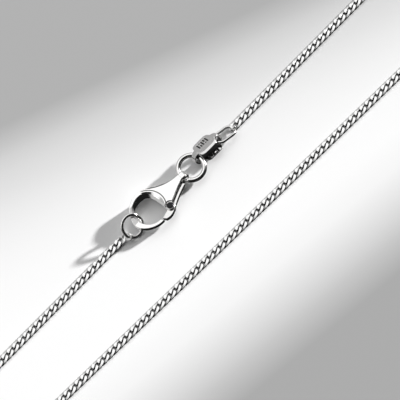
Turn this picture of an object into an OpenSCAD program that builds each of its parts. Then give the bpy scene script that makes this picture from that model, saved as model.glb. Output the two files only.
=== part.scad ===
// Fine curb chain necklace closed by a lobster claw clasp, lying flat as a long
// narrow loop. Lengths are in millimetres. +X runs along the loop, +Y across it
// towards the run that carries the clasp, +Z up from the surface it rests on.
// The chain is drawn as a plain eight sided envelope of its links.

/* [Loop] */
// Length once round the necklace, clasp included
necklace_length = 450; // [350:10:700]
// Distance between the two runs where the clasp lies
run_spacing = 11.91; // [8:0.01:40]
// Angle between each run and the middle of the loop
run_spread = 0.84; // [0.2:0.01:4]

/* [Chain] */
// Width of the chain lying flat
chain_w = 0.96; // [0.6:0.01:3]
// Height of the chain lying flat
chain_h = 0.58; // [0.4:0.01:2.5]
// Start of the chain at the hook ring, along the run
chain_start_x = -11.5; // [-14:0.05:-11.3]
// End of the chain at the oval ring, along the run
chain_end_x = 11.9; // [11.8:0.05:15]

/* [Clasp] */
// Thickness of the claw at its body
claw_t = 1.8; // [1.4:0.05:3]
// Height of the claw's underside above the surface
claw_z = 0.3; // [0.2:0.01:0.6]
// Height of the hook at its tip
hook_tip_t = 0.62; // [0.5:0.01:1]
// Width of the hook at its tip
hook_tip_w = 0.5; // [0.5:0.01:0.9]
// Place across the loop where the hook begins to thin
taper_start = 7.5; // [6.5:0.05:8]
// Place across the loop where the hook is down to its tip's height
taper_end = 5.2; // [4:0.05:6]
// Width of the slope between the body and the hook's hole
rim_w = 0.45; // [0.2:0.01:0.6]
// Depth of that slope
rim_h = 0.3; // [0.1:0.01:0.5]
// Middle of the clasp eye along the loop
eye_x = 0.63; // [0.2:0.01:1]
// Middle of the clasp eye across the loop
eye_y = 5.53; // [5:0.01:6]
// Outer radius of the clasp eye
eye_r = 0.86; // [0.7:0.01:1.2]
// Radius of the hole in the clasp eye
eye_hole_r = 0.58; // [0.4:0.01:0.6]
// Widening of the eye's hole at its faces
eye_flare = 0.14; // [0.05:0.01:0.2]
// Thickness of the clasp eye
eye_t = 0.9; // [0.6:0.01:1.4]

/* [Lever] */
// Pin position along the loop
pin_x = -3.82; // [-4.2:0.01:-3.4]
// Pin position across the loop
pin_y = 3.42; // [3:0.01:4]
// Pin radius
pin_r = 0.24; // [0.15:0.01:0.4]
// Radius of the pin's riveted heads
head_r = 0.46; // [0.3:0.01:0.55]
// Height of the pin's heads above the cheeks
head_h = 0.12; // [0.05:0.01:0.2]
// Play between the pin and the lever's bore
pin_play = 0.03; // [0.02:0.01:0.08]
// Radius of the cheeks round the pin
cheek_r = 0.6; // [0.45:0.01:0.9]
// Step from the claw's faces down to the cheeks
cheek_step = 0.22; // [0.1:0.01:0.4]
// Thickness of the lever at the gate
lever_t = 0.72; // [0.5:0.01:1]
// Height of the thumb arm
thumb_t = 0.6; // [0.3:0.01:0.8]
// Width of the thumb arm
thumb_w = 0.4; // [0.2:0.01:0.6]
// Free space on each side of the lever between the cheeks
lever_side = 0.05; // [0.02:0.01:0.1]
// Radius of the lever's boss round the pin
boss_r = 0.58; // [0.4:0.01:0.8]
// Radius of the room for the lever between the cheeks
slot_r = 0.92; // [0.8:0.01:1.1]
// Gap between the gate's end and the tip of the hook
seam = 0.23; // [0.05:0.01:0.4]

/* [Rings] */
// Outer diameter of the ring on the hook
hook_ring_od = 3.7; // [2.6:0.05:4]
// Wire of the ring on the hook
hook_ring_wire = 0.48; // [0.25:0.01:0.5]
// Outer diameter of the ring in the eye
eye_ring_od = 4.5; // [3.6:0.05:5]
// Wire of the ring in the eye
eye_ring_wire = 0.72; // [0.4:0.01:0.8]
// Outer length of the oval ring
oval_len = 3.75; // [3:0.05:5]
// Outer width of the oval ring
oval_w = 2.15; // [1.6:0.05:3]
// Wire of the oval ring
oval_wire = 0.42; // [0.3:0.01:0.5]

/* [Tag] */
// Outer length of the tag
tag_len = 5.3; // [4:0.05:7]
// Width of the tag at its middle
tag_w = 2.75; // [1.6:0.05:3.5]
// Width of the tag where its plates end
tag_end_w = 1.1; // [0.7:0.05:1.6]
// Width of the tag in its bends
tag_neck_w = 0.8; // [0.6:0.05:1.2]
// Length of each wide plate
tag_plate = 3.2; // [2.4:0.05:4]
// Offset of the lower plate towards the oval ring
tag_shift = 0.4; // [0:0.05:0.5]
// Outer height of the tag
tag_h = 2.05; // [1.4:0.05:2.6]
// Thickness of the tag's strip
tag_t = 0.26; // [0.2:0.01:0.4]

/* [Hidden] */
// The two straight runs leave the middle of the loop at the same angle, and a
// round end joins them at each end. The lengths follow from the whole length.
h0 = run_spacing / 2;
ca = cos(run_spread);
sa = sin(run_spread);
span = (necklace_length - 2 * PI * h0 * ca)
    / (2 * ca - PI * sa * sa + 2 * run_spread * PI / 180 * sa);
mid_x = -span * sa / 2;
x1 = mid_x - span / 2;
x2 = mid_x + span / 2;
r1 = h0 * ca + x1 * sa;
r2 = h0 * ca + x2 * sa;

// Height of a run above the middle of the loop at x
function run_y(x) = h0 + x * sa / ca;

// Route of the chain, as places and headings in degrees: along the clasp's run,
// round the narrow end, back along the far run, round the wide end and up to the
// oval ring. The two halves of the chain meet in the middle of the far run.
turn_n = 14;
function arc_points(cx, r, a0, a1, n) =
    [for (i = [0:n]) let (a = a0 + (a1 - a0) * i / n) [cx + r * cos(a), r * sin(a), a + 90]];
up = 90;
route_meet = [0, -run_y(0), -run_spread];
route_left = concat(
    [[chain_start_x, run_y(chain_start_x), 2 * up + run_spread]],
    arc_points(x1, r1, up + run_spread, 3 * up - run_spread, turn_n),
    [route_meet]);
route_right = concat(
    [route_meet],
    arc_points(x2, r2, -up - run_spread, up + run_spread, turn_n + 4),
    [[chain_end_x, run_y(chain_end_x), 2 * up + run_spread]]);

// Section of the chain's envelope: a flat eight sided figure, foot at z = 0
chain_flat = chain_w * 0.6;
chain_side = chain_h * 0.45;
section = [
    [chain_w / 2, (chain_h - chain_side) / 2], [chain_w / 2, (chain_h + chain_side) / 2],
    [chain_flat / 2, chain_h], [-chain_flat / 2, chain_h],
    [-chain_w / 2, (chain_h + chain_side) / 2], [-chain_w / 2, (chain_h - chain_side) / 2],
    [-chain_flat / 2, 0], [chain_flat / 2, 0]];

// Point on a curve with four control points
function bez(p, t) = pow(1 - t, 3) * p[0] + 3 * pow(1 - t, 2) * t * p[1]
    + 3 * (1 - t) * t * t * p[2] + t * t * t * p[3];
function bez_line(p, n) = [for (i = [0:n]) bez(p, i / n)];

// Outline of the claw seen from above, as joined curves. The outer side sweeps
// from the eye's neck over the shoulder and round the hook to its tip.
neck_out = [0.3, 5.92];
shoulder = [-4.5, 8.09];
hook_far = [-9.24, 5.3];
hook_tip = [-5.88, 2.62];
tip_edge = [-0.28, hook_tip_w];
claw_outer = [
    [neck_out, [-1.9, 6.0], [-2.7, 7.0], shoulder],
    [shoulder, [-6.5, 9.15], [-9.05, 7.3], hook_far],
    [hook_far, [-9.3, 3.95], [-7.8, 2.5], hook_tip]];
// The hole of the hook: from the tip round to the body
hole_far = [-8.48, 5.5];
hole_top = [-5.9, 7.86];
hole_body = [-4.32, 6.5];
claw_hole = [
    [hook_tip + tip_edge, [-7.3, 3.05], [-8.4, 4.0], hole_far],
    [hole_far, [-8.5, 6.75], [-7.3, 7.85], hole_top],
    [hole_top, [-5.0, 7.86], [-4.42, 7.35], hole_body],
    [hole_body, [-4.25, 5.9], [-4.12, 4.6], [-4.26, 3.6]]];
// Circle that follows the hole on the body's side, for the slope round it
rim_mid = [-6.35, 5.62];
rim_r = 2.62;
// The side of the body above the thumb arm
claw_inner = [[pin_x + 0.45, pin_y + 0.15], [-2.4, 3.95], [-1.3, 4.62], [0.3, 5.1]];
// Start of the gate's end face, across the seam from the hook's tip
gate_end = hook_tip + seam * [tip_edge[1], -tip_edge[0]] / norm(tip_edge);
// Corner of the claw's opening beside the gate
gate_corner = [-4.3, 2.3];
// Height of the corner that closes the hook's outline at its cut
hook_cut_y = 3.2;
// Edges of the lever, from the gate's end to the thumb's end
gate_out = [gate_end - 0.53 * tip_edge, [-4.9, 2.25], [-4.3, 2.35], [-3.7, 2.76]];
gate_in = [[-3.5, 3.5], [-4.3, 3.65], [-5.0, 3.05], gate_end + 0.54 * tip_edge];
thumb_out = [[-3.7, 2.76], [-2.9, 3.22], [-1.4, 4.0], [0.1, 4.42]];

function path(curves, n) = [for (c = curves) each bez_line(c, n)];

// The shoulder of the claw stands out past the loop. The whole piece is moved
// across so that the middle of its box lies at y = 0.
claw_top = max([for (p = path(claw_outer, 14)) p[1]]);
centre_y = (claw_top - r2 - chain_w / 2) / 2;

mid_z = claw_z + claw_t / 2;
cheek_gap = lever_t + 2 * lever_side;
eye_ring_r = (eye_ring_od - eye_ring_wire) / 2;
hook_ring_r = (hook_ring_od - hook_ring_wire) / 2;

// Places of the loose pieces: middle, then lean about X, Y and Z
hook_ring_at = [-9.5, 5.54, 1.43];
hook_ring_lean = [46.4, 5.8, 0];
eye_ring_at = [2.57, 5.67, 1.22];
eye_ring_lean = [8.4, -3.8, 0];
tag_at = [6.14, 6.02, 1.41];
tag_lean = [-17, 1, 1];
oval_at = [9.5, 5.83, 0.98];
oval_lean = [-4, 12, -2];

// Moves a piece of the loop into the frame of the whole
module placed() {
    translate([0, -centre_y, 0])
        children();
}

// Wire ring lying in the XY plane
module ring(r, wire) {
    rotate_extrude($fn = 72)
        translate([r, 0])
            circle(d = wire, $fn = 24);
}

// Wedge that thins the hook evenly above and below towards its tip
module hook_taper() {
    h = claw_t / 2;
    t = hook_tip_t / 2;
    y_far = claw_top + 1;
    x_far = hook_far[0] - 1;
    translate([x_far, 0, mid_z])
        rotate([90, 0, 90])
            linear_extrude(-x_far)
                polygon([[0, -t], [taper_end, -t], [taper_start, -h], [y_far, -h],
                    [y_far, h], [taper_start, h], [taper_end, t], [0, t]]);
}

// Slope between the body's faces and the hole
module rim_slope() {
    for (side = [0, 180])
        translate([rim_mid[0], rim_mid[1], mid_z])
            rotate([side, 0, 0])
                intersection() {
                    translate([0, 0, claw_t / 2 - rim_h])
                        cylinder(r1 = rim_r - rim_w, r2 = rim_r + 0.02, h = rim_h + 0.01,
                            $fn = 96);
                    translate([1.1, -2 * rim_r, 0])
                        cube([2 * rim_r, 4 * rim_r, claw_t]);
                }
}

// Step round the pin that sets the cheeks below the claw's faces
module cheek_steps() {
    for (side = [0, 180])
        translate([pin_x, pin_y, mid_z])
            rotate([side, 0, 0])
                translate([0, 0, claw_t / 2 - cheek_step])
                    cylinder(r = cheek_r + 0.08, h = claw_t, $fn = 48);
}

module claw() {
    hook_cut = -5.0;
    color("silver")
        placed()
        difference() {
            union() {
                difference() {
                    intersection() {
                        translate([0, 0, claw_z])
                            linear_extrude(claw_t)
                                difference() {
                                    polygon(concat(path(claw_outer, 14),
                                        [[hook_cut, hook_cut_y], claw_hole[3][3] + [0.1, 0]],
                                        bez_line(claw_inner, 8)));
                                    polygon(concat(path(claw_hole, 12), [gate_corner,
                                        hook_tip + [0.5, -0.3], hook_tip]));
                                }
                        hook_taper();
                    }
                    cheek_steps();
                }
                // part of the body that keeps its full thickness
                difference() {
                    translate([0, 0, claw_z])
                        linear_extrude(claw_t)
                            difference() {
                                polygon(concat(
                                    [for (p = bez_line(claw_outer[0], 14)) p],
                                    [shoulder, claw_hole[2][3], claw_hole[3][3]],
                                    bez_line(claw_inner, 8)));
                                polygon(concat(path(claw_hole, 12), [gate_corner]));
                            }
                    cheek_steps();
                }
                translate([pin_x, pin_y, claw_z + cheek_step])
                    cylinder(r = cheek_r, h = claw_t - 2 * cheek_step, $fn = 48);
                translate([eye_x, eye_y + eye_t / 2, mid_z])
                    rotate([90, 0, 0])
                        cylinder(r = eye_r, h = eye_t, $fn = 48);
            }
            rim_slope();
            // hole of the eye, opened a little at both faces
            translate([eye_x, eye_y, mid_z])
                for (side = [90, 270])
                    rotate([side, 0, 0]) {
                        translate([0, 0, -0.01])
                            cylinder(r = eye_hole_r, h = 1, $fn = 48);
                        translate([0, 0, eye_t / 2 - eye_flare * 2])
                            cylinder(r1 = eye_hole_r, r2 = eye_hole_r + eye_flare + 0.01,
                                h = eye_flare * 2 + 0.02, $fn = 48);
                    }
            // room for the lever between the cheeks
            translate([pin_x, pin_y, mid_z - cheek_gap / 2])
                cylinder(r = slot_r, h = cheek_gap, $fn = 48);
            // hole for the pin
            translate([pin_x, pin_y, 0])
                cylinder(r = pin_r, h = claw_t + 2, $fn = 48);
        }
}

module lever() {
    color("gainsboro")
        placed()
        difference() {
            union() {
                translate([0, 0, mid_z - lever_t / 2])
                    linear_extrude(lever_t) {
                        polygon(concat(bez_line(gate_out, 6), bez_line(gate_in, 8)));
                        translate([pin_x, pin_y])
                            circle(r = boss_r, $fn = 48);
                    }
                translate([0, 0, mid_z - thumb_t / 2])
                    linear_extrude(thumb_t)
                        polygon(concat(
                            bez_line(thumb_out, 10),
                            [for (i = [10:-1:0])
                                bez(thumb_out, i / 10) + thumb_w * [-0.45, 0.9]]));
            }
            translate([pin_x, pin_y, 0])
                cylinder(r = pin_r + pin_play, h = claw_t + 2, $fn = 48);
        }
}

module lever_pin() {
    color("dimgray")
        placed()
        translate([pin_x, pin_y, mid_z]) {
            cylinder(r = pin_r, h = claw_t - 2 * cheek_step, center = true, $fn = 48);
            for (side = [0, 180])
                rotate([side, 0, 0])
                    translate([0, 0, claw_t / 2 - cheek_step])
                        rivet_head();
        }
}

// Domed head of the pin, a turned outline
module rivet_head() {
    rotate_extrude($fn = 48)
        polygon(concat([[0, 0]], [for (a = [0:15:75])
            [head_r - head_h + head_h * cos(a), head_h * sin(a)]], [[0, head_h]]));
}

module hook_ring() {
    color("silver")
        placed()
        translate(hook_ring_at)
            rotate(hook_ring_lean)
                ring(hook_ring_r, hook_ring_wire);
}

module eye_ring() {
    color("silver")
        placed()
        translate(eye_ring_at)
            rotate(eye_ring_lean)
                ring(eye_ring_r, eye_ring_wire);
}

// Strip closed into a long loop, wide in the middle and narrow at its bends
module tag() {
    color("silver")
        placed()
        translate(tag_at)
            rotate(tag_lean)
                intersection() {
                    translate([0, tag_w, 0])
                        rotate([90, 0, 0])
                            linear_extrude(2 * tag_w)
                                difference() {
                                    tag_profile(tag_h);
                                    tag_profile(tag_h - 2 * tag_t);
                                }
                    union() {
                        linear_extrude(tag_h)
                            tag_outline(0);
                        translate([0, 0, -tag_h])
                            linear_extrude(tag_h)
                                tag_outline(tag_shift);
                    }
                }
}

// Outline of one flattened half of the strip, its plate moved by a shift
module tag_outline(shift) {
    n = 32;
    reach = tag_len / 2 + tag_t / 4;
    xs = [for (i = [0:n]) -reach * cos(180 * i / n)];
    polygon(concat([for (x = xs) [x, tag_half_w(x, shift)]],
        [for (i = [n:-1:0]) [xs[i], -tag_half_w(xs[i], shift)]]));
}

// Half of the strip's width at x: a rounded plate, then a neck that narrows
// evenly up to the bend
function tag_half_w(x, shift) = let (bend = tag_len / 2 - tag_t, half = tag_plate / 2)
    tag_neck_w / 2
    + (tag_end_w - tag_neck_w) / 2 * min(1, max(0, (bend - abs(x)) / (bend - half)))
    + (tag_w - tag_end_w) / 2 * sqrt(max(0, 1 - pow(abs(x - shift) / half, 5)));

// Long loop seen from its side
module tag_profile(h) {
    c = tag_len / 2 - tag_h / 2;
    for (s = [-1, 1])
        translate([s * c, 0])
            circle(d = h, $fn = 48);
    square([2 * c, h], center = true);
}

module oval_ring() {
    r = (oval_w - oval_wire) / 2;
    straight = oval_len - oval_w;
    color("silver")
        placed()
        translate(oval_at)
            rotate(oval_lean) {
                for (s = [-1, 1]) {
                    translate([s * straight / 2, 0, 0])
                        rotate([0, 0, s > 0 ? -90 : 90])
                            rotate_extrude(angle = 180, $fn = 72)
                                translate([r, 0])
                                    circle(d = oval_wire, $fn = 24);
                    translate([-straight / 2, s * r, 0])
                        rotate([0, 90, 0])
                            cylinder(d = oval_wire, h = straight, $fn = 24);
                }
            }
}

// Envelope of the links swept along a route
module chain_half(route) {
    n = len(section);
    rings = len(route);
    points = [for (q = route) for (p = section)
        [q[0] + p[0] * sin(q[2]), q[1] - p[0] * cos(q[2]), p[1]]];
    sides = [for (i = [0:rings - 2]) for (j = [0:n - 1])
        [i * n + j, i * n + (j + 1) % n, (i + 1) * n + (j + 1) % n, (i + 1) * n + j]];
    ends = [[for (j = [n - 1:-1:0]) j], [for (j = [0:n - 1]) (rings - 1) * n + j]];
    color("silver")
        placed()
        polyhedron(points, concat(sides, ends), convexity = 10);
}

// Half of the chain from the hook ring round the narrow end
module chain_left() {
    chain_half(route_left);
}

// Half of the chain round the wide end to the oval ring
module chain_right() {
    chain_half(route_right);
}

claw();
lever();
lever_pin();
hook_ring();
eye_ring();
tag();
oval_ring();
chain_left();
chain_right();
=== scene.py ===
import math

import bpy
import numpy as np
from mathutils import Matrix, Vector


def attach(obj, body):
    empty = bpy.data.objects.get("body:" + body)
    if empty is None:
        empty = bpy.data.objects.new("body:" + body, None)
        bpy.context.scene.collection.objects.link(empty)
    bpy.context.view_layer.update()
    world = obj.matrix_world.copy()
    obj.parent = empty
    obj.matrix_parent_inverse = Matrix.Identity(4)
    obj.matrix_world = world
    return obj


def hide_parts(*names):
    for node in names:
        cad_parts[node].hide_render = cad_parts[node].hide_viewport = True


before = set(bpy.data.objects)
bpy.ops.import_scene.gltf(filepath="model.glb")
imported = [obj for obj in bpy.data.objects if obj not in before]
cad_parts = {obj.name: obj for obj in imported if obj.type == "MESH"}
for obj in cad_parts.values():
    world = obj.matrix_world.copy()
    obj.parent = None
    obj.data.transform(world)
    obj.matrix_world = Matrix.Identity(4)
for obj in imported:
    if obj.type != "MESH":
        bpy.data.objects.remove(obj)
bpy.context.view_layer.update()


MM = 0.001

# Sizes of the loop in millimetres
NECKLACE_LENGTH = 450
RUN_SPACING = 11.91
RUN_SPREAD = math.radians(0.84)
CHAIN_W = 0.96
CHAIN_H = 0.58
CLAW_TOP = 8.398

h0 = RUN_SPACING / 2
ca, sa = math.cos(RUN_SPREAD), math.sin(RUN_SPREAD)
span = (NECKLACE_LENGTH - 2 * math.pi * h0 * ca) / (2 * ca - math.pi * sa * sa + 2 * RUN_SPREAD * sa)
x1 = -span * sa / 2 - span / 2
x2 = -span * sa / 2 + span / 2
r1 = h0 * ca + x1 * sa
r2 = h0 * ca + x2 * sa
CENTRE_Y = (CLAW_TOP - r2 - CHAIN_W / 2) / 2


# ---------------------------------------------------------------- camera and stage

def camera_from_photo():
    """Camera on the line from the aim point at azimuth -27.85 and elevation 60 degrees, rolled by
    20 degrees."""
    azimuth, elevation, roll = math.radians(-27.85), math.radians(60), math.radians(20)
    back = Vector((math.sin(azimuth) * math.cos(elevation), -math.cos(azimuth) * math.cos(elevation),
                   math.sin(elevation)))
    right = Vector((math.cos(azimuth), math.sin(azimuth), 0))
    up = back.cross(right)
    side = right * math.cos(roll) - up * math.sin(roll)
    top = right * math.sin(roll) + up * math.cos(roll)
    data = bpy.data.cameras.new("photo_camera")
    data.sensor_width = 36
    data.lens = 414
    data.clip_start = 0.01
    data.clip_end = 20
    camera = bpy.data.objects.new("photo_camera", data)
    bpy.context.scene.collection.objects.link(camera)
    place = Vector((0, 1.428 * MM, 0)) + back * (648.8 * MM)
    camera.matrix_world = Matrix((
        (side.x, top.x, back.x, place.x),
        (side.y, top.y, back.y, place.y),
        (side.z, top.z, back.z, place.z),
        (0, 0, 0, 1)))
    bpy.context.scene.camera = camera


camera_from_photo()
bpy.context.scene.view_settings.view_transform = "Standard"



def nodes_of(owner):
    """A fresh node tree on a material or world, as its nodes and links."""
    owner.use_nodes = True
    tree = owner.node_tree
    tree.nodes.clear()
    return tree.nodes, tree.links


def maths(n, link, operation, *values):
    """A number worked out from others, each a plain number or another node's output."""
    node = n.new("ShaderNodeMath")
    node.operation = operation
    for socket, value in zip(node.inputs, values):
        if isinstance(value, (int, float)):
            socket.default_value = value
        else:
            link.new(value, socket)
    return node.outputs["Value"]


def with_vector(n, link, operation, vector, fixed):
    """A number worked out from a vector and a fixed one, such as their distance or dot product."""
    node = n.new("ShaderNodeVectorMath")
    node.operation = operation
    node.inputs[1].default_value = fixed
    link.new(vector, node.inputs[0])
    return node.outputs["Value"]


def ranged(n, link, value, start, end, low=0, high=1, kind="LINEAR"):
    """A number that goes from low to high while the value goes from start to end."""
    node = n.new("ShaderNodeMapRange")
    node.interpolation_type = kind
    for name, number in (("From Min", start), ("From Max", end), ("To Min", low), ("To Max", high)):
        node.inputs[name].default_value = number
    link.new(value, node.inputs["Value"])
    return node.outputs["Result"]


def tinted(n, link, base, share, colour):
    """The base colour with a share of another one laid over it."""
    node = n.new("ShaderNodeMix")
    node.data_type = "RGBA"
    node.inputs["B"].default_value = (*colour, 1)
    link.new(share, node.inputs["Factor"])
    link.new(base, node.inputs["A"])
    return node.outputs["Result"]


def grey_ramp(n, link, value, stops):
    """A grey that follows a value, from pairs of place and level."""
    ramp = n.new("ShaderNodeValToRGB")
    first, last = ramp.color_ramp.elements
    for element, (place, grey) in ((first, stops[0]), (last, stops[-1])):
        element.position, element.color = place, (grey, grey, grey, 1)
    for place, grey in stops[1:-1]:
        ramp.color_ramp.elements.new(place).color = (grey, grey, grey, 1)
    link.new(value, ramp.inputs["Fac"])
    return ramp.outputs["Color"]


# The room as the metal sees it, from straight down over +Y: the pale sheet, the dark side at -Y, the bright
# panel overhead and the grey side at +Y, each as a share of a full turn and a level
ROOM = ((0, 0.45), (0.20, 0.45), (0.245, 0.01), (0.725, 0.01), (0.765, 1.0), (0.86, 1.0), (0.895, 0.42),
        (0.96, 0.42), (1.0, 0.45))
ROOM_END_LEVEL = 0.3
LEVEL_ON_SHEET, LEVEL_ON_METAL = 1.05, 1.2
SUN_POWER, SUN_WIDTH_DEG = 6.9, 3.5
TO_SUN = Vector((0.9345, -0.197, 0.2965))


def studio_light():
    """Low sun from +X for the long shadows, and a room that is bright overhead, dark towards -Y and grey
    towards +Y, the grey being the pale sheet as the metal sees it. The room's level follows from the angle
    of the ray in the plane of Y and Z."""
    sun = bpy.data.lights.new("key_sun", "SUN")
    sun.energy = SUN_POWER
    sun.angle = math.radians(SUN_WIDTH_DEG)
    key = bpy.data.objects.new("key_sun", sun)
    bpy.context.scene.collection.objects.link(key)
    key.rotation_mode = "QUATERNION"
    key.rotation_quaternion = TO_SUN.to_track_quat("Z", "Y")

    world = bpy.data.worlds.new("studio")
    bpy.context.scene.world = world
    n, link = nodes_of(world)
    out = n.new("ShaderNodeOutputWorld")
    coord = n.new("ShaderNodeTexCoord")
    apart = n.new("ShaderNodeSeparateXYZ")
    link.new(coord.outputs["Generated"], apart.inputs[0])
    flip = maths(n, link, "MULTIPLY", apart.outputs["Y"], -1)
    angle = maths(n, link, "ARCTAN2", apart.outputs["Z"], flip)
    room = grey_ramp(n, link, ranged(n, link, angle, -math.pi, math.pi), ROOM)
    ends = maths(n, link, "ABSOLUTE", apart.outputs["X"])
    whole = n.new("ShaderNodeMix")
    whole.inputs["B"].default_value = ROOM_END_LEVEL
    link.new(ranged(n, link, ends, 0.85, 0.98, kind="SMOOTHSTEP"), whole.inputs["Factor"])
    link.new(room, whole.inputs["A"])
    path = n.new("ShaderNodeLightPath")
    level = ranged(n, link, path.outputs["Is Glossy Ray"], 0, 1, LEVEL_ON_SHEET, LEVEL_ON_METAL)
    back = n.new("ShaderNodeBackground")
    back.inputs["Color"].default_value = (1, 1, 1, 1)
    link.new(maths(n, link, "MULTIPLY", whole.outputs["Result"], level), back.inputs["Strength"])
    link.new(back.outputs["Background"], out.inputs["Surface"])


studio_light()

SHEET_SIZE = 3.0
# The two edges of a band of painted light on the sheet, with painted shade beyond them: the way across each
# edge, and the sheet's grey over 80 mm of that way, with the loop's middle at 0.5
PAINTED_LIGHT_REACH = 0.040
PAINTED_LIGHT_EDGES = (
    ((0.3765, 0.9264, 0),
     ((0, 0.905), (0.44, 0.9), (0.53, 0.88), (0.58, 0.85), (0.62, 0.815), (0.66, 0.765), (0.7, 0.7),
      (0.735, 0.65), (0.765, 0.59), (0.789, 0.515), (0.83, 0.405), (1.0, 0.405))),
    ((0.106, 0.994, 0),
     ((0, 0.375), (0.16, 0.375), (0.181, 0.43), (0.203, 0.49), (0.214, 0.52), (0.231, 0.58), (0.253, 0.65),
      (0.28, 0.73), (0.321, 0.84), (0.375, 0.89), (0.44, 0.905), (1.0, 0.905))))


def pale_floor():
    """Matt pale sheet under the necklace, with a band of painted light across it between two soft edges that
    are not quite parallel, and painted shade darkening the sheet beyond them."""
    size = SHEET_SIZE
    mesh = bpy.data.meshes.new("floor")
    mesh.from_pydata([(-size, -size, 0), (size, -size, 0), (size, size, 0), (-size, size, 0)], [],
                     [(0, 1, 2, 3)])
    floor = bpy.data.objects.new("floor", mesh)
    bpy.context.scene.collection.objects.link(floor)
    paint = bpy.data.materials.new("pale_sheet")
    n, link = nodes_of(paint)
    out = n.new("ShaderNodeOutputMaterial")
    shade = n.new("ShaderNodeBsdfDiffuse")
    coord = n.new("ShaderNodeTexCoord")
    # Painted light and shade: the sheet's colour is lighter in a band and darker beyond its two edges.
    band = n.new("ShaderNodeMix")
    band.data_type = "RGBA"
    band.blend_type = "DARKEN"
    band.inputs["Factor"].default_value = 1
    for side, (way, stops) in zip("AB", PAINTED_LIGHT_EDGES):
        across = with_vector(n, link, "DOT_PRODUCT", coord.outputs["Object"], way)
        edge = grey_ramp(n, link, ranged(n, link, across, -PAINTED_LIGHT_REACH, PAINTED_LIGHT_REACH), stops)
        link.new(edge, band.inputs[side])
    link.new(band.outputs["Result"], shade.inputs["Color"])
    link.new(shade.outputs["BSDF"], out.inputs["Surface"])
    mesh.materials.append(paint)
    floor.visible_glossy = False


pale_floor()


# ---------------------------------------------------------------- materials

# Colours of painted shade: round the rivet, then in the claw's creases.
RIVET_SHADE_COLOUR = (0.03, 0.03, 0.03)
CREASE_SHADE_COLOUR = (0.08, 0.08, 0.08)


def painted_crease_shade(n, link, coord, crease):
    """How much painted shade lies in a thin crease, from 0 to 1: a ring of the given middle, radius and
    width, seen from above, kept to the claw's flat by the lowest x, y and z where it starts."""
    cx, cy, radius, width, *starts = crease
    parts = n.new("ShaderNodeSeparateXYZ")
    link.new(coord, parts.inputs["Vector"])
    level = n.new("ShaderNodeCombineXYZ")
    for axis in "XY":
        link.new(parts.outputs[axis], level.inputs[axis])
    reach = with_vector(n, link, "DISTANCE", level.outputs["Vector"], (cx, cy, 0))
    away = maths(n, link, "ABSOLUTE", maths(n, link, "SUBTRACT", reach, radius))
    crease_shade = ranged(n, link, away, width, width * 0.4, kind="SMOOTHSTEP")
    for axis, start in zip("XYZ", starts):
        here = ranged(n, link, parts.outputs[axis], start, start + 4 * width, kind="SMOOTHSTEP")
        crease_shade = maths(n, link, "MULTIPLY", crease_shade, here)
    return crease_shade


def polished(name, colour, rough, grain=9000, depth=0.000002, painted_shade=None, shade_spot=None, creases=()):
    """Polished metal: fine rubbing marks along one direction, a faint cloudiness that changes the gloss,
    painted shade in a dark colour where the mesh says so, painted shade round a point given with its radius,
    and painted shade in thin creases."""
    metal = bpy.data.materials.new(name)
    n, link = nodes_of(metal)
    out = n.new("ShaderNodeOutputMaterial")
    skin = n.new("ShaderNodeBsdfPrincipled")
    skin.inputs["Metallic"].default_value = 1.0
    place = n.new("ShaderNodeTexCoord").outputs["Object"]
    cloud = n.new("ShaderNodeTexNoise")
    cloud.inputs["Scale"].default_value = 900
    cloud.inputs["Detail"].default_value = 4
    link.new(place, cloud.inputs["Vector"])
    gloss = ranged(n, link, cloud.outputs["Fac"], 0.3, 0.7, rough * 0.6, rough * 1.5)
    link.new(gloss, skin.inputs["Roughness"])
    tone = n.new("ShaderNodeMix")
    tone.data_type = "RGBA"
    tone.inputs["A"].default_value = (*colour, 1)
    tone.inputs["B"].default_value = (*[c * 0.9 for c in colour], 1)
    link.new(cloud.outputs["Fac"], tone.inputs["Factor"])
    base = tone.outputs["Result"]
    # Painted shade: a dark colour laid on where the mesh's shade attribute says so.
    if painted_shade:
        shade_amount = n.new("ShaderNodeAttribute")
        shade_amount.attribute_name = "painted_shade"
        base = tinted(n, link, base, shade_amount.outputs["Fac"], painted_shade)
    # Painted shade: a dark spot round a point, darkening the colour.
    if shade_spot:
        reach = with_vector(n, link, "DISTANCE", place, shade_spot[:3])
        spread = ranged(n, link, reach, shade_spot[3] * 0.8, shade_spot[3], 1, 0, "SMOOTHSTEP")
        base = tinted(n, link, base, spread, RIVET_SHADE_COLOUR)
    # Painted shade in thin creases on the claw.
    for crease in creases:
        base = tinted(n, link, base, painted_crease_shade(n, link, place, crease), CREASE_SHADE_COLOUR)
    link.new(base, skin.inputs["Base Color"])
    turn = n.new("ShaderNodeMapping")
    turn.inputs["Rotation"].default_value = (0.3, 0.2, 0.6)
    turn.inputs["Scale"].default_value = (0.12, 1, 1)
    link.new(place, turn.inputs["Vector"])
    rub = n.new("ShaderNodeTexNoise")
    rub.inputs["Scale"].default_value = grain
    rub.inputs["Detail"].default_value = 3
    link.new(turn.outputs["Vector"], rub.inputs["Vector"])
    bump = n.new("ShaderNodeBump")
    bump.inputs["Strength"].default_value = 0.25
    bump.inputs["Distance"].default_value = depth
    link.new(rub.outputs["Fac"], bump.inputs["Height"])
    link.new(bump.outputs["Normal"], skin.inputs["Normal"])
    link.new(skin.outputs["BSDF"], out.inputs["Surface"])
    return metal


# Painted shade round the rivet, and in the creases round the hook's hole and along the claw's outer edge, in
# metres
RIVET_SHADE = (-0.00382, 0.003183, 0.0020, 0.00062)
CLAW_SHADED_CREASES = ((-0.00635, 0.00538, 0.00283, 0.00011, -0.0052, 0.0033, 0.0014),
                (0.00029, 0.01198, 0.00624, 0.00012, -0.0048, 0.0033, 0.0014))

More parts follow.
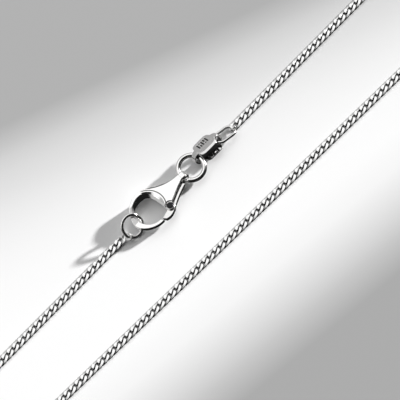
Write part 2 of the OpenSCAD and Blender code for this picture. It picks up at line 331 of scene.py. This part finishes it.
silver = polished("polished_silver", (0.93, 0.925, 0.915), 0.13)
claw_silver = polished("claw_silver", (0.93, 0.925, 0.915), 0.13, shade_spot=RIVET_SHADE, creases=CLAW_SHADED_CREASES)
lever_silver = polished("lever_silver", (0.80, 0.795, 0.785), 0.16)
# The tag's and the chain's dark colours are painted shade, laid on where each mesh says so.
tag_silver = polished("tag_silver", (0.74, 0.735, 0.73), 0.20, painted_shade=(0.03, 0.03, 0.03))
chain_silver = polished("chain_silver", (0.92, 0.92, 0.915), 0.14, painted_shade=(0.015, 0.015, 0.015))
# The pin is painted nearly black, as painted shade for the dark notch round the pivot.
rivet_painted_dark = polished("rivet_dark", (0.025, 0.025, 0.027), 0.22, 12000, 0.000003)


# ---------------------------------------------------------------- meshes

def piece(name, points, faces, metal, body, node, smooth=True, shade=None):
    """One closed mesh from points in millimetres of the loop's frame, riding on a body and standing for its
    CAD nodes. The shade says how much painted shade darkens each point, from 0 to 1."""
    mesh = bpy.data.meshes.new(name)
    place = np.asarray(points, dtype=float).reshape(-1, 3) - (0, CENTRE_Y, 0)
    mesh.from_pydata((place * MM).tolist(), [], np.asarray(faces).tolist())
    mesh.polygons.foreach_set("use_smooth", np.full(len(mesh.polygons), smooth))
    mesh.materials.append(metal)
    if shade is not None:
        mesh.attributes.new("painted_shade", "FLOAT", "POINT").data.foreach_set("value", np.ravel(shade))
    mesh.update()
    made = bpy.data.objects.new(name, mesh)
    bpy.context.scene.collection.objects.link(made)
    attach(made, body)
    if node:
        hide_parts(*node)
    return made


def wrapped(nu, nv, closed_u=True, closed_v=True):
    """Four-cornered faces of a grid of nu by nv points, joined end to end where it is closed."""
    u = np.arange(nu if closed_u else nu - 1)
    v = np.arange(nv if closed_v else nv - 1)
    a, b = np.meshgrid(u, v, indexing="ij")
    c, d = (a + 1) % nu, (b + 1) % nv
    return np.stack([a * nv + b, c * nv + b, c * nv + d, a * nv + d], axis=-1).reshape(-1, 4)


def turned(angles):
    """Rotation matrix for angles in degrees about X, then Y, then Z."""
    rx, ry, rz = np.radians(angles)
    x = np.array([[1, 0, 0], [0, math.cos(rx), -math.sin(rx)], [0, math.sin(rx), math.cos(rx)]])
    y = np.array([[math.cos(ry), 0, math.sin(ry)], [0, 1, 0], [-math.sin(ry), 0, math.cos(ry)]])
    z = np.array([[math.cos(rz), -math.sin(rz), 0], [math.sin(rz), math.cos(rz), 0], [0, 0, 1]])
    return z @ y @ x


def wire_loop(length, width, wire, nu, nv, seam=None):
    """Round wire of the given thickness carried round a loop with straight sides and round ends.
    A point of the wire is the loop's point, plus the outward direction times the cosine of the turn round
    the wire, plus +Z times its sine, both times the wire's radius. The radius dips at the seam, where the
    bent wire's ends meet."""
    end = (width - wire) / 2
    straight = (length - width) / 2
    turn = np.linspace(0, 2 * math.pi, nu, endpoint=False) + (0 if seam is None else seam)
    outward = np.stack([np.cos(turn), np.sin(turn), np.zeros(nu)], axis=1)
    middle = outward * end
    middle[:, 0] += straight * np.clip(np.cos(turn) * 12, -1, 1)
    thick = np.full(nu, wire / 2)
    if seam is not None:
        off = np.minimum(np.arange(nu), nu - np.arange(nu))
        thick *= 1 - 0.16 * (off == 0)
    round_wire = np.linspace(0, 2 * math.pi, nv, endpoint=False)
    arm = (outward[:, None] * np.cos(round_wire)[None, :, None]
           + np.array([0, 0, 1.0])[None, None] * np.sin(round_wire)[None, :, None])
    return middle[:, None] + arm * thick[:, None, None], wrapped(nu, nv)


def placed_ring(name, at, lean, length, width, wire, node, seam=None, nu=120, nv=20):
    """A wire loop turned by lean and moved to at."""
    points, faces = wire_loop(length, width, wire, nu, nv, seam)
    points = points.reshape(-1, 3) @ turned(lean).T + np.array(at)
    made = piece(name, points, faces, silver, "necklace", [node])
    return made


placed_ring("hook_jump_ring", (-9.5, 5.54, 1.43), (46.4, 5.8, 0), 3.7, 3.7, 0.48, "hook_ring", 2.2)
placed_ring("eye_jump_ring", (2.57, 5.67, 1.22), (8.4, -3.8, 0), 4.5, 4.5, 0.72, "eye_ring", 3.6)
placed_ring("oval_link", (9.5, 5.83, 0.98), (-4, 12, -2), 3.75, 2.15, 0.42, "oval_ring", 1.2)

# Small links between the jump rings and the first and last link of the chain
placed_ring("hook_end_link", (-11.049, 5.225, 0.661), (-144.6, -29.6, -59.6), 2.0, 1.15, 0.24, "chain_left",
            nu=40, nv=10)
placed_ring("oval_end_link", (11.107, 5.929, 0.645), (177.5, -51.3, -83.1), 1.5, 1.05, 0.26, "chain_right",
            nu=40, nv=10)


# ---------------------------------------------------------------- tag

TAG_LENGTH, TAG_HEIGHT, TAG_THICK = 5.3, 2.05, 0.26
TAG_WIDTH, TAG_END_WIDTH, TAG_NECK = 2.75, 1.1, 0.4
PLATE_HALF, LOWER_SHIFT = 1.6, 0.4
BEVEL, BEVEL_REACH = 0.12, 0.3
MARK_DEPTH, MARK_REACH, MARK_WALL = 0.09, 0.135, 0.05
LOWER_SLOPE, LOWER_SLOPE_REACH = 0.2, 0.68
PLATE_STEPS, SIDE_STEPS, CORNER_STEPS = 101, 61, 6


def tag_half_width(x, shift):
    """Half of the strip's width at x: a rounded plate moved by a shift, then a neck that narrows to the
    bend."""
    bend = TAG_LENGTH / 2 - TAG_THICK
    neck = TAG_NECK + 0.15 * np.clip((bend - np.abs(x)) / (bend - PLATE_HALF), 0, 1)
    round_plate = np.sqrt(np.maximum(0, 1 - (np.abs(x - shift) / PLATE_HALF) ** 5))
    return neck + (TAG_WIDTH - TAG_END_WIDTH) / 2 * round_plate


def punched(x, y, marks):
    """Depth share of small punched marks, each a dash with round ends given by its two end points: one well
    inside the dash, falling evenly to none at MARK_REACH from its middle line."""
    depth = np.zeros(np.broadcast(x, y).shape)
    for ax, ay, bx, by in marks:
        px, py, dx, dy = x - ax, y - ay, bx - ax, by - ay
        share = np.clip((px * dx + py * dy) / max(dx * dx + dy * dy, 1e-9), 0, 1)
        away = np.hypot(px - share * dx, py - share * dy)
        depth = np.maximum(depth, np.clip((MARK_REACH - away) / MARK_WALL, 0, 1))
    return depth


# Plain dashes and dots that stand for stamped marks, as the ends of each along and across the plate
UPPER_MARKS = ((-0.85, 0.05, -0.85, 0.75), (-0.45, 0.05, -0.45, 0.35), (-0.45, 0.72, -0.40, 0.75),
               (-0.05, 0.05, -0.05, 0.75), (0.35, 0.05, 0.38, 0.08), (0.35, 0.42, 0.35, 0.75),
               (0.75, 0.05, 0.75, 0.75))
LOWER_MARKS = ((-0.55, -1.15, -0.55, -0.7), (-0.15, -1.15, -0.12, -1.12), (-0.15, -0.9, -0.15, -0.7),
               (0.25, -1.15, 0.25, -0.7), (0.65, -1.15, 0.65, -0.95), (1.05, -1.15, 1.05, -0.7))


def tag_strip():
    """Strip bent into a long loop. Its middle line goes round a figure of two straight sides and two half
    circles seen from the side, and its section is a flat figure as wide as the plate is at that place, with
    rounded edges. Towards the long edges the outer face slopes down by BEVEL over BEVEL_REACH, and so does
    the inner face of the lower plate by LOWER_SLOPE. The punched marks push the upper faces of both plates
    in by up to MARK_DEPTH. The shade is full in the marks and on the inner side of the upper plate, and
    fades on the lower plate where the upper one no longer covers it."""
    r = (TAG_HEIGHT - TAG_THICK) / 2
    c = (TAG_LENGTH - TAG_HEIGHT) / 2
    turn = np.linspace(0, math.pi, 33)
    flat = np.linspace(-c, c, PLATE_STEPS)[1:-1]
    n = len(flat)
    x = np.concatenate([c + r * np.sin(turn), -flat, -c - r * np.sin(turn), flat])
    z = np.concatenate([-r * np.cos(turn), np.full(n, r), r * np.cos(turn), np.full(n, -r)])
    nx = np.concatenate([np.sin(turn), np.zeros(n), -np.sin(turn), np.zeros(n)])
    nz = np.concatenate([-np.cos(turn), np.ones(n), np.cos(turn), -np.ones(n)])
    on_upper, on_lower = (z > r * 0.999)[:, None], (z < -r * 0.999)[:, None]
    half = np.where(z > 0, tag_half_width(x, 0), tag_half_width(x, LOWER_SHIFT))[:, None]
    edge = TAG_THICK * 0.25
    bend = np.linspace(0, math.pi / 2, CORNER_STEPS)
    side = np.linspace(-1, 1, SIDE_STEPS)
    corner = edge * np.stack([np.sin(bend), np.cos(bend)], axis=1)
    lim = half - edge
    top = TAG_THICK / 2
    outside = lim * side
    inside = outside[:, ::-1]
    slope = BEVEL * np.clip((np.abs(outside) - lim + BEVEL_REACH) / BEVEL_REACH, 0, 1)
    slope *= np.clip(lim - TAG_NECK, 0, 0.3) / 0.3
    drop = slope[:, -1:]
    level = np.zeros_like(drop)
    outer_dip = punched(x[:, None], outside, UPPER_MARKS) * on_upper
    inner_dip = punched(x[:, None], inside, LOWER_MARKS) * on_lower
    ease = LOWER_SLOPE * np.clip((np.abs(inside) - lim + LOWER_SLOPE_REACH) / 0.6, 0, 1)
    ease *= (on_lower & (half > 0.9)) * np.clip((half - np.abs(inside)) / 0.06, 0, 1)
    across = np.concatenate([
        outside, lim + corner[1:, 0], lim + corner[::-1, 0], inside[:, 1:],
        -lim - corner[1:, 0], -lim - corner[:0:-1, 0]], axis=1)
    high = np.concatenate([
        top - slope - MARK_DEPTH * outer_dip, top - edge - drop + corner[1:, 1],
        edge - top - corner[::-1, 1] + level, (MARK_DEPTH * inner_dip + ease - top)[:, 1:],
        edge - top - corner[1:, 1] + level, top - edge - drop + corner[:0:-1, 1]], axis=1)
    points = np.stack([x[:, None] + nx[:, None] * high, across, z[:, None] + nz[:, None] * high], axis=-1)
    # Painted shade: the lower plate's inner face is dark where the upper plate covers it, and the other inner
    # faces nearly so.
    under = np.clip((inside[:, 1:] + 0.85) / 0.15, 0, 1)
    open_part = ((z < 0) & (np.abs(x) < c))[:, None]
    first_inside = SIDE_STEPS + 2 * CORNER_STEPS - 1
    dark = np.zeros(across.shape)
    dark[:, :SIDE_STEPS] = outer_dip
    dark[:, first_inside:first_inside + SIDE_STEPS - 1] = np.maximum(
        inner_dip[:, 1:], np.where(open_part, under, 0.9))
    return points, wrapped(*points.shape[:2]), dark


points, faces, dark = tag_strip()
points = points.reshape(-1, 3) @ turned((-17, 1, 1)).T + np.array((6.14, 6.02, 1.41))
tag = piece("two_plate_tag", points, faces, tag_silver, "necklace", ["tag"], shade=dark)


# ---------------------------------------------------------------- chain

CHAIN_START_X, CHAIN_END_X = -11.95, 11.9
LINK_PITCH = 1.09
LINK_A, LINK_B = 0.80, 0.48
LINK_TWIST = math.radians(-58)
LINK_WIRE = 0.38
LINK_FLAT = 0.28
LINK_SHIFT = 0.08
SHADE_HALF_WIDTH = 0.36


def curb_link(nu=18, nv=8):
    """One curb link about its own middle. Its middle line is a rounded oblong of half length A and half
    width B, where each coordinate is the root of the cosine or sine, and the oblong is twisted about the
    chain evenly, by LINK_TWIST each way from its middle to its ends. The wire's section is an eight sided
    figure between a circle and a square, and what stands above or below the flat is filed off. The metal
    is painted dark where it lies deep between the two sides of the chain, as painted shade."""
    t = (np.arange(nu) + 0.5) * 2 * math.pi / nu

    def line(t):
        c, s = np.cos(t), np.sin(t)
        x = LINK_A * np.sign(c) * np.abs(c) ** 0.5
        w = LINK_B * np.sign(s) * np.abs(s) ** 0.5
        twist = LINK_TWIST * x / LINK_A
        return np.stack([x, w * np.cos(twist), w * np.sin(twist)], axis=1)

    middle = line(t)
    ahead = line(t + 0.02) - line(t - 0.02)
    ahead /= np.linalg.norm(ahead, axis=1)[:, None]
    side = np.cross(ahead, (0, 0, 1.0))
    side /= np.linalg.norm(side, axis=1)[:, None]
    up = np.cross(side, ahead)
    q = np.arange(nv) * 2 * math.pi / nv
    wide, high = (np.sign(v) * np.abs(v) ** 0.72 for v in (np.cos(q), np.sin(q)))
    points = middle[:, None] + LINK_WIRE / 2 * (
        side[:, None] * wide[None, :, None] + up[:, None] * high[None, :, None])
    # Painted shade: the points that lie deep between the two sides of the chain get the dark colour.
    inner = (np.clip((SHADE_HALF_WIDTH - np.abs(points[..., 1])) / 0.08, 0, 1)
             * np.clip((LINK_FLAT - np.abs(points[..., 2])) / 0.02, 0, 1))
    points[..., 2] = np.clip(points[..., 2], -LINK_FLAT, LINK_FLAT)
    return points, wrapped(nu, nv), inner

def route():
    """Places and headings, evenly spaced along the chain: from the hook ring's end of the clasp's run round
    the narrow end, back along the far run and round the wide end to the oval ring. On a run the place goes
    straight from its start, and on an end it goes round the end's middle."""
    out_of, into = math.pi / 2 + RUN_SPREAD, -math.pi / 2 - RUN_SPREAD
    p0 = np.array([CHAIN_START_X, h0 + CHAIN_START_X * sa / ca])
    p1 = np.array([x1 + r1 * math.cos(out_of), r1 * math.sin(out_of)])
    p3 = np.array([x2 + r2 * math.cos(into), r2 * math.sin(into)])
    p2, p4 = p1 * (1, -1), p3 * (1, -1)
    lengths = [np.linalg.norm(p1 - p0), r1 * (math.pi - 2 * RUN_SPREAD), np.linalg.norm(p3 - p2),
               r2 * (math.pi + 2 * RUN_SPREAD), (p4[0] - CHAIN_END_X) / ca]
    marks = np.cumsum([0, *lengths])
    s = np.linspace(0, marks[-1], int(round(marks[-1] / LINK_PITCH)))[:, None]

    def straight(start, mark, heading):
        """Points on a straight run, and its heading."""
        along = start + (s - mark) * (math.cos(heading), math.sin(heading))
        return np.hstack([along, np.full_like(s, heading)])

    def round_end(middle, radius, mark, first):
        """Points on a round end, and the heading along it."""
        a = first + (s - mark) / radius
        return np.hstack([middle + radius * np.cos(a), radius * np.sin(a), a + math.pi / 2])

    stretch = [s < mark for mark in marks[1:5]]
    return np.select(stretch, [
        straight(p0, 0, math.pi + RUN_SPREAD), round_end(x1, r1, marks[1], out_of),
        straight(p2, marks[2], 2 * math.pi - RUN_SPREAD), round_end(x2, r2, marks[3], into)],
        straight(p4, marks[4], math.pi + RUN_SPREAD))


def chain_links():
    """Every link of the chain: the one link's points turned to the heading and moved to the place of each
    step along the route, all as one array."""
    places = route()
    points, faces, inner = curb_link()
    flat = points.reshape(-1, 3)
    x, y, heading = (column[:, None] for column in places.T)
    c, s = np.cos(heading), np.sin(heading)
    link_x = x + c * flat[:, 0] - s * flat[:, 1]
    link_y = y - LINK_SHIFT + s * flat[:, 0] + c * flat[:, 1]
    link_z = np.broadcast_to(flat[:, 2] + LINK_FLAT, link_x.shape)
    count = len(places)
    all_points = np.stack([link_x, link_y, link_z], axis=-1).reshape(-1, 3)
    all_faces = (faces + (np.arange(count) * len(flat))[:, None, None]).reshape(-1, 4)
    return all_points, all_faces, np.tile(inner.ravel(), count)


points, faces, inner = chain_links()
links = piece("curb_links", points, faces, chain_silver, "necklace", ["chain_left", "chain_right"],
              False, inner)


# ---------------------------------------------------------------- clasp

def softened(node, metal, cell, rounds):
    """The CAD piece's sharp edges worn round: rebuilt on a fine grid of the given cell in millimetres, then
    smoothed."""
    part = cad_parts[node]
    part.data.materials.clear()
    part.data.materials.append(metal)
    mesh = part.modifiers.new("fine_grid", "REMESH")
    mesh.mode = "VOXEL"
    mesh.voxel_size = cell * MM
    mesh.use_smooth_shade = True
    soft = part.modifiers.new("worn_edges", "SMOOTH")
    soft.factor = 0.5
    soft.iterations = rounds


softened("claw", claw_silver, 0.036, 6)
softened("lever", lever_silver, 0.03, 6)
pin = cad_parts["lever_pin"]
pin.data.materials.clear()
pin.data.materials.append(rivet_painted_dark)
